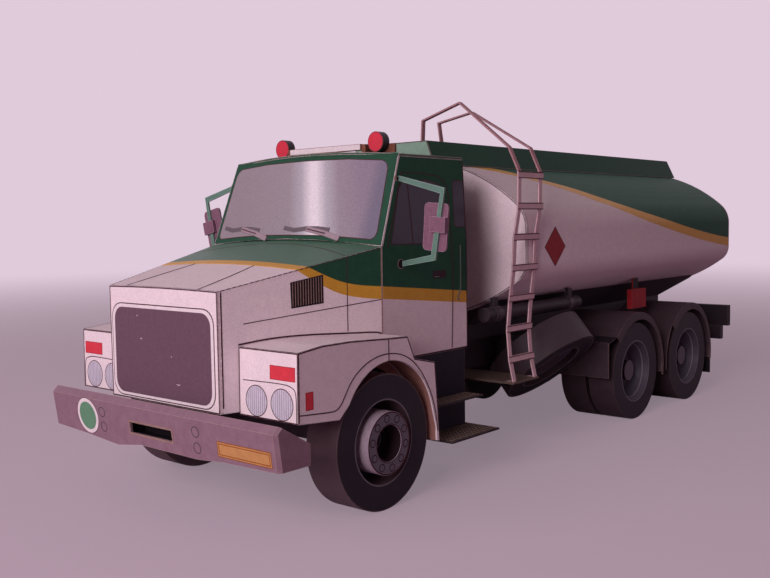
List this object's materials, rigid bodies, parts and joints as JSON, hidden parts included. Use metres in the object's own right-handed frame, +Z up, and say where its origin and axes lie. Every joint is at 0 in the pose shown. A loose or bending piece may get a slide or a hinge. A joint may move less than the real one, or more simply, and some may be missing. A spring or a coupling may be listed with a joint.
{
  "type": "card model tanker truck",
  "caption": "Printed card model of a bonneted tanker truck with three axles: oval tank with walkway and ladder, twin rear wheels, spare wheel and mirrors.",
  "frame": {"origin": "ground level, below the middle of the length, on the centre line", "axes": "+X forwards, +Y to the truck's left, +Z up"},
  "size_m": [0.16, 0.0576, 0.0635],
  "materials": {
    "green_print": "matt printed card",
    "white_print": "matt printed card",
    "grey_print": "matt printed card",
    "dark_print": "matt printed card",
    "tyre_print": "matt printed card",
    "hub_print": "matt printed card",
    "glass_print": "matt printed card",
    "red_print": "matt printed card",
    "brown_print": "matt printed card"
  },
  "bodies": {
    "chassis": {"beacon_left": "red_print", "beacon_right": "red_print", "bonnet": "white_print", "cab_back": "green_print", "cab_floor": "dark_print", "cab_roof": "green_print", "cab_side_left": "green_print", "cab_side_right": "green_print", "frame": "dark_print", "front_axle": "dark_print", "front_bumper": "grey_print", "front_wing_left": "white_print", "front_wing_right": "white_print", "fuel_tank": "grey_print", "grille_panel": "green_print", "hoop_front": "white_print", "hoop_rear": "white_print", "hose_tube": "grey_print", "ladder": "white_print", "ladder_platform": "grey_print", "mirror_bracket_left": "green_print", "mirror_bracket_right": "green_print", "mirror_head_left": "grey_print", "mirror_head_right": "grey_print", "mud_flap_left": "dark_print", "mud_flap_right": "dark_print", "mudguard_1_left": "grey_print", "mudguard_1_right": "grey_print", "mudguard_2_left": "grey_print", "mudguard_2_right": "grey_print", "rear_axle_1": "dark_print", "rear_axle_2": "dark_print", "rear_board": "green_print", "rear_lamp_left": "red_print", "rear_lamp_right": "red_print", "red_box": "red_print", "roof_sign": "brown_print", "spare_carrier": "dark_print", "spare_wheel": "tyre_print", "steps_left": "grey_print", "steps_right": "grey_print", "tank_bearer": "dark_print", "tank_body": "white_print", "tank_front_end": "white_print", "tank_rear_end": "white_print", "walkway_coaming": "green_print", "walkway_lids": "white_print", "windscreen_panel": "glass_print", "wiper_left": "grey_print", "wiper_right": "grey_print"},
    "front_wheel_left": {"front_tyre_left": "tyre_print", "front_hub_left": "hub_print"},
    "rear_wheel_1_left": {"rear_wheels_1_left": "tyre_print"},
    "rear_wheel_2_left": {"rear_wheels_2_left": "tyre_print"},
    "front_wheel_right": {"front_tyre_right": "tyre_print", "front_hub_right": "hub_print"},
    "rear_wheel_1_right": {"rear_wheels_1_right": "tyre_print"},
    "rear_wheel_2_right": {"rear_wheels_2_right": "tyre_print"}
  },
  "joints": [
    {"name": "front_wheel_left_turn", "type": "hinge", "parent": "chassis", "child": "front_wheel_left", "pos_m": [0.0556, 0.0213, 0.01016], "axis": [0, 1, 0], "continuous": true},
    {"name": "rear_wheel_1_left_turn", "type": "hinge", "parent": "chassis", "child": "rear_wheel_1_left", "pos_m": [-0.0254, 0.019, 0.01016], "axis": [0, 1, 0], "continuous": true},
    {"name": "rear_wheel_2_left_turn", "type": "hinge", "parent": "chassis", "child": "rear_wheel_2_left", "pos_m": [-0.0524, 0.019, 0.01016], "axis": [0, 1, 0], "continuous": true},
    {"name": "front_wheel_right_turn", "type": "hinge", "parent": "chassis", "child": "front_wheel_right", "pos_m": [0.0556, -0.0213, 0.01016], "axis": [0, 1, 0], "continuous": true},
    {"name": "rear_wheel_1_right_turn", "type": "hinge", "parent": "chassis", "child": "rear_wheel_1_right", "pos_m": [-0.0254, -0.019, 0.01016], "axis": [0, 1, 0], "continuous": true},
    {"name": "rear_wheel_2_right_turn", "type": "hinge", "parent": "chassis", "child": "rear_wheel_2_right", "pos_m": [-0.0524, -0.019, 0.01016], "axis": [0, 1, 0], "continuous": true}
  ]
}
